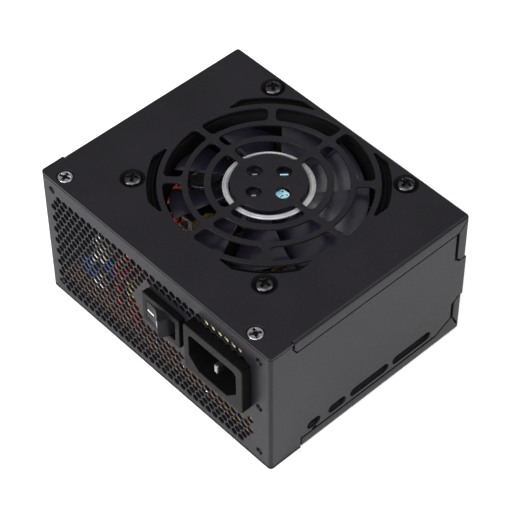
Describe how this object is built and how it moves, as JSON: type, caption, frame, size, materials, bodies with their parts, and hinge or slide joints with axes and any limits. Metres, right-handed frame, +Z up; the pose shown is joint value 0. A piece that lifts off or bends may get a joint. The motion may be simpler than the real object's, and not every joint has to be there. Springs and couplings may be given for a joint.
{
  "type": "power supply unit",
  "caption": "Compact desktop computer power supply with a top fan under a stamped grille, a honeycomb rear panel, a mains inlet and a rocker switch.",
  "frame": {"origin": "centre of the underside of the case", "axes": "+Z up out of the fan grille, -Y out of the rear panel with the mains inlet, +X to the right as seen from the rear panel"},
  "size_m": [0.125, 0.1078, 0.0647],
  "materials": {
    "black_steel": "satin black powder coat with a fine texture",
    "black_plastic": "moulded black plastic",
    "rocker_plastic": "smooth black plastic with a white line and a ring",
    "brass": "stamped brass",
    "fan_frame_plastic": "moulded black plastic",
    "fan_plastic": "semi-gloss purple-black plastic",
    "polished_ring": "polished trim ring",
    "bright_steel": "zinc-plated steel",
    "dark_screw": "black-oxide steel",
    "copper_winding": "enamelled copper winding",
    "red_wire": "red insulation",
    "brown_wire": "brown insulation",
    "blue_wire": "blue insulation",
    "green_wire": "green and yellow insulation",
    "cream_plastic": "cream plastic",
    "circuit_board": "paper laminate board",
    "yellow_plastic": "yellow plastic case",
    "blue_ceramic": "blue coated ceramic",
    "red_ceramic": "red coated ceramic",
    "dark_ceramic": "dark coated ceramic",
    "capacitor_sleeve": "shrunk plastic sleeve",
    "aluminium": "bare aluminium",
    "transformer_tape": "yellow polyester tape"
  },
  "bodies": {
    "case": {"rear_shell": "black_steel", "wrap_shell": "black_steel", "fan_screw_1": "dark_screw", "fan_screw_2": "dark_screw", "fan_screw_3": "dark_screw", "fan_screw_4": "dark_screw", "cover_screw_1": "bright_steel", "base_screw_1": "bright_steel", "cover_screw_2": "bright_steel", "base_screw_2": "bright_steel", "board_screw_1": "bright_steel", "board_screw_2": "bright_steel", "board_screw_3": "bright_steel", "board_screw_4": "bright_steel", "inlet_housing": "black_plastic", "inlet_pin_line": "bright_steel", "inlet_pin_neutral": "bright_steel", "inlet_pin_earth": "bright_steel", "switch_housing": "black_plastic", "switch_terminal_in": "brass", "switch_terminal_out": "brass", "fan_frame": "fan_frame_plastic", "fan_stator": "copper_winding", "fan_bearing": "brass", "fan_lead": "red_wire", "fan_plug": "cream_plastic", "main_board": "circuit_board", "insulating_sheet": "cream_plastic", "socket_board": "circuit_board", "motherboard_socket_18": "black_plastic", "motherboard_socket_10": "black_plastic", "processor_socket": "black_plastic", "graphics_socket": "black_plastic", "drive_socket": "black_plastic", "line_wire_inlet": "brown_wire", "line_wire_board": "brown_wire", "neutral_wire": "blue_wire", "earth_wire": "green_wire", "line_capacitor": "yellow_plastic", "filter_capacitor": "yellow_plastic", "suppressor_disc_1": "blue_ceramic", "suppressor_disc_2": "blue_ceramic", "varistor": "red_ceramic", "thermistor": "dark_ceramic", "fuse": "cream_plastic", "line_choke": "copper_winding", "boost_choke": "copper_winding", "bulk_capacitor": "capacitor_sleeve", "bridge_rectifier": "black_plastic", "primary_heatsink": "aluminium", "power_transistor": "black_plastic", "main_transformer": "transformer_tape", "standby_transformer": "transformer_tape", "secondary_heatsink": "aluminium", "output_choke": "copper_winding", "output_capacitor": "capacitor_sleeve"},
    "fan": {"fan_rotor": "fan_plastic", "fan_hub_ring": "polished_ring", "fan_shaft": "bright_steel"},
    "switch_rocker": {"rocker": "rocker_plastic"}
  },
  "joints": [
    {"name": "fan_spin", "type": "hinge", "parent": "case", "child": "fan", "pos_m": [0, 0.008, 0.055], "axis": [0, 0, 1], "continuous": true},
    {"name": "rocker_tilt", "type": "hinge", "parent": "case", "child": "switch_rocker", "pos_m": [0.00745, -0.0483, 0.0399], "axis": [0, 0, 1], "range_deg": [0, 41]}
  ]
}
